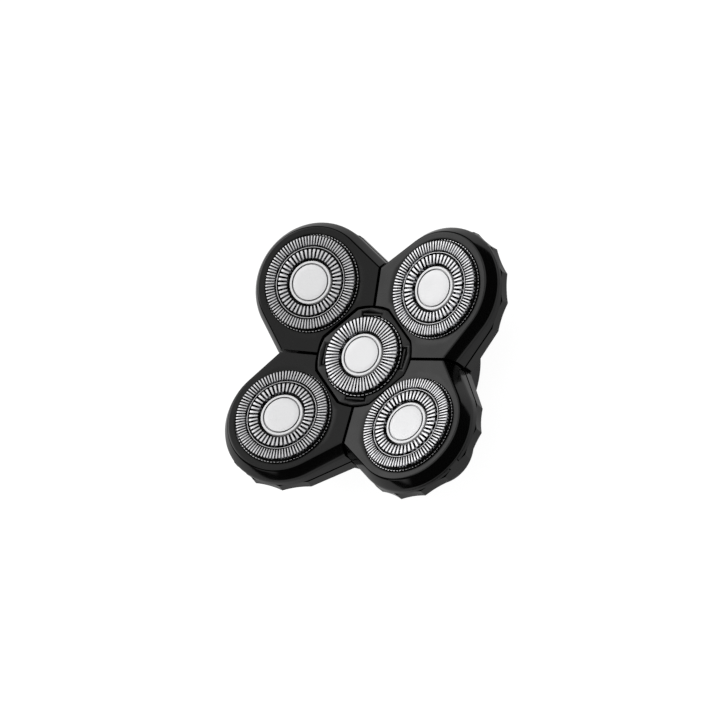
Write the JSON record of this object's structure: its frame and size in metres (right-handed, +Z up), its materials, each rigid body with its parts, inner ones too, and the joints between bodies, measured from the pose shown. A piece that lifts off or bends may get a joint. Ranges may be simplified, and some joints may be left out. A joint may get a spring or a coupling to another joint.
{
  "type": "rotary shaver head",
  "caption": "Rotary shaver head: leaning cutter pods hinged round a sliding centre pod, slotted steel caps, a gear train under them and a round neck for the handle.",
  "frame": {"origin": "middle of the neck's rim, on the head's axis", "axes": "+Z up the axis towards the cutters; the outer pods lie on the diagonals of X and Y"},
  "size_m": [0.068, 0.068, 0.0274],
  "materials": {
    "pod_cover": "satin face with a polished bevel",
    "pod_bowl": "polished",
    "cap_steel": "polished",
    "disc_steel": "satin, turned",
    "cutter_steel": "ground",
    "carrier_plastic": "moulded",
    "retainer_plastic": "moulded",
    "spindle_plastic": "moulded",
    "spring_steel": "drawn wire",
    "gear_plastic": "moulded",
    "pin_steel": "ground",
    "gearbox_plastic": "moulded",
    "screw_steel": "plated",
    "seal_rubber": "moulded"
  },
  "bodies": {
    "base": {"gearbox_base": "gearbox_plastic", "gear_cover": "gearbox_plastic", "gear_cover_screws": "screw_steel", "neck_seal": "seal_rubber", "hinge_pin_1": "pin_steel", "hinge_pin_2": "pin_steel", "hinge_pin_3": "pin_steel", "hinge_pin_4": "pin_steel"},
    "sun": {"sun_gear": "gear_plastic", "spindle_spring_5": "spring_steel"},
    "centre_pod": {"centre_cover": "pod_cover", "centre_bowl": "pod_bowl", "centre_cap": "cap_steel", "cap_disc_5": "disc_steel", "cutter_retainer_5": "retainer_plastic"},
    "cutter_5": {"cutter_5": "cutter_steel", "cutter_carrier_5": "carrier_plastic"},
    "spindle_5": {"spindle_5": "spindle_plastic"},
    "pod_1": {"petal_cover_1": "pod_cover", "petal_bowl_1": "pod_bowl", "outer_cap_1": "cap_steel", "cap_disc_1": "disc_steel", "cutter_retainer_1": "retainer_plastic"},
    "cutter_1": {"cutter_1": "cutter_steel", "cutter_carrier_1": "carrier_plastic"},
    "planet_1": {"planet_gear_1": "gear_plastic", "spindle_spring_1": "spring_steel"},
    "spindle_1": {"spindle_1": "spindle_plastic"},
    "pod_2": {"petal_cover_2": "pod_cover", "petal_bowl_2": "pod_bowl", "outer_cap_2": "cap_steel", "cap_disc_2": "disc_steel", "cutter_retainer_2": "retainer_plastic"},
    "cutter_2": {"cutter_2": "cutter_steel", "cutter_carrier_2": "carrier_plastic"},
    "planet_2": {"planet_gear_2": "gear_plastic", "spindle_spring_2": "spring_steel"},
    "spindle_2": {"spindle_2": "spindle_plastic"},
    "pod_3": {"petal_cover_3": "pod_cover", "petal_bowl_3": "pod_bowl", "outer_cap_3": "cap_steel", "cap_disc_3": "disc_steel", "cutter_retainer_3": "retainer_plastic"},
    "cutter_3": {"cutter_3": "cutter_steel", "cutter_carrier_3": "carrier_plastic"},
    "planet_3": {"planet_gear_3": "gear_plastic", "spindle_spring_3": "spring_steel"},
    "spindle_3": {"spindle_3": "spindle_plastic"},
    "pod_4": {"petal_cover_4": "pod_cover", "petal_bowl_4": "pod_bowl", "outer_cap_4": "cap_steel", "cap_disc_4": "disc_steel", "cutter_retainer_4": "retainer_plastic"},
    "cutter_4": {"cutter_4": "cutter_steel", "cutter_carrier_4": "carrier_plastic"},
    "planet_4": {"planet_gear_4": "gear_plastic", "spindle_spring_4": "spring_steel"},
    "spindle_4": {"spindle_4": "spindle_plastic"}
  },
  "joints": [
    {"name": "sun_spin", "type": "hinge", "parent": "base", "child": "sun", "pos_m": [0, 0, 0.009], "axis": [0, 0, 1], "continuous": true},
    {"name": "planet_spin_1", "type": "hinge", "parent": "base", "child": "planet_1", "pos_m": [0.01782, 0.01782, 0.009], "axis": [0, 0, 1], "continuous": true},
    {"name": "pod_tilt_1", "type": "hinge", "parent": "base", "child": "pod_1", "pos_m": [0.0087, 0.0087, 0.0166], "axis": [-0.7071, 0.7071, 0], "range_deg": [0, 5], "stiffness_Nm_per_rad": 0.1, "springref_deg": -6.88},
    {"name": "spindle_slide_1", "type": "slide", "parent": "planet_1", "child": "spindle_1", "axis": [0, 0, 1], "range_m": [-0.0012, 0], "deforming": ["spindle_spring_1"]},
    {"name": "cutter_spin_1", "type": "hinge", "parent": "pod_1", "child": "cutter_1", "pos_m": [0.01735, 0.01735, 0.02224], "axis": [-0.1169, -0.1169, 0.9862], "continuous": true},
    {"name": "planet_spin_2", "type": "hinge", "parent": "base", "child": "planet_2", "pos_m": [-0.01782, 0.01782, 0.009], "axis": [0, 0, 1], "continuous": true},
    {"name": "pod_tilt_2", "type": "hinge", "parent": "base", "child": "pod_2", "pos_m": [-0.0087, 0.0087, 0.0166], "axis": [-0.7071, -0.7071, 0], "range_deg": [0, 5], "stiffness_Nm_per_rad": 0.1, "springref_deg": -6.88},
    {"name": "spindle_slide_2", "type": "slide", "parent": "planet_2", "child": "spindle_2", "axis": [0, 0, 1], "range_m": [-0.0012, 0], "deforming": ["spindle_spring_2"]},
    {"name": "cutter_spin_2", "type": "hinge", "parent": "pod_2", "child": "cutter_2", "pos_m": [-0.01735, 0.01735, 0.02224], "axis": [0.1169, -0.1169, 0.9862], "continuous": true},
    {"name": "planet_spin_3", "type": "hinge", "parent": "base", "child": "planet_3", "pos_m": [-0.01782, -0.01782, 0.009], "axis": [0, 0, 1], "continuous": true},
    {"name": "pod_tilt_3", "type": "hinge", "parent": "base", "child": "pod_3", "pos_m": [-0.0087, -0.0087, 0.0166], "axis": [0.7071, -0.7071, 0], "range_deg": [0, 5], "stiffness_Nm_per_rad": 0.1, "springref_deg": -6.88},
    {"name": "spindle_slide_3", "type": "slide", "parent": "planet_3", "child": "spindle_3", "axis": [0, 0, 1], "range_m": [-0.0012, 0], "deforming": ["spindle_spring_3"]},
    {"name": "cutter_spin_3", "type": "hinge", "parent": "pod_3", "child": "cutter_3", "pos_m": [-0.01735, -0.01735, 0.02224], "axis": [0.1169, 0.1169, 0.9862], "continuous": true},
    {"name": "planet_spin_4", "type": "hinge", "parent": "base", "child": "planet_4", "pos_m": [0.01782, -0.01782, 0.009], "axis": [0, 0, 1], "continuous": true},
    {"name": "pod_tilt_4", "type": "hinge", "parent": "base", "child": "pod_4", "pos_m": [0.0087, -0.0087, 0.0166], "axis": [0.7071, 0.7071, 0], "range_deg": [0, 5], "stiffness_Nm_per_rad": 0.1, "springref_deg": -6.88},
    {"name": "spindle_slide_4", "type": "slide", "parent": "planet_4", "child": "spindle_4", "axis": [0, 0, 1], "range_m": [-0.0012, 0], "deforming": ["spindle_spring_4"]},
    {"name": "cutter_spin_4", "type": "hinge", "parent": "pod_4", "child": "cutter_4", "pos_m": [0.01735, -0.01735, 0.02224], "axis": [-0.1169, 0.1169, 0.9862], "continuous": true},
    {"name": "centre_slide", "type": "slide", "parent": "base", "child": "centre_pod", "axis": [0, 0, 1], "range_m": [-0.0012, 0], "stiffness_N_per_m": 400, "springref_m": 0.0012},
    {"name": "spindle_slide_5", "type": "slide", "parent": "sun", "child": "spindle_5", "axis": [0, 0, 1], "range_m": [-0.0012, 0], "deforming": ["spindle_spring_5"]},
    {"name": "cutter_spin_5", "type": "hinge", "parent": "centre_pod", "child": "cutter_5", "pos_m": [0, 0, 0.02], "axis": [0, 0, 1], "continuous": true}
  ],
  "couplings": [
    {"joint": "planet_spin_1", "follows": "sun_spin", "ratio": -2.9375},
    {"joint": "spindle_slide_1", "follows": "pod_tilt_1", "m_per_rad": -0.012899},
    {"joint": "cutter_spin_1", "follows": "sun_spin", "ratio": -2.9375},
    {"joint": "planet_spin_2", "follows": "sun_spin", "ratio": -2.9375},
    {"joint": "spindle_slide_2", "follows": "pod_tilt_2", "m_per_rad": -0.012899},
    {"joint": "cutter_spin_2", "follows": "sun_spin", "ratio": -2.9375},
    {"joint": "planet_spin_3", "follows": "sun_spin", "ratio": -2.9375},
    {"joint": "spindle_slide_3", "follows": "pod_tilt_3", "m_per_rad": -0.012899},
    {"joint": "cutter_spin_3", "follows": "sun_spin", "ratio": -2.9375},
    {"joint": "planet_spin_4", "follows": "sun_spin", "ratio": -2.9375},
    {"joint": "spindle_slide_4", "follows": "pod_tilt_4", "m_per_rad": -0.012899},
    {"joint": "cutter_spin_4", "follows": "sun_spin", "ratio": -2.9375},
    {"joint": "spindle_slide_5", "follows": "centre_slide", "ratio": 1},
    {"joint": "cutter_spin_5", "follows": "sun_spin", "ratio": 1}
  ]
}
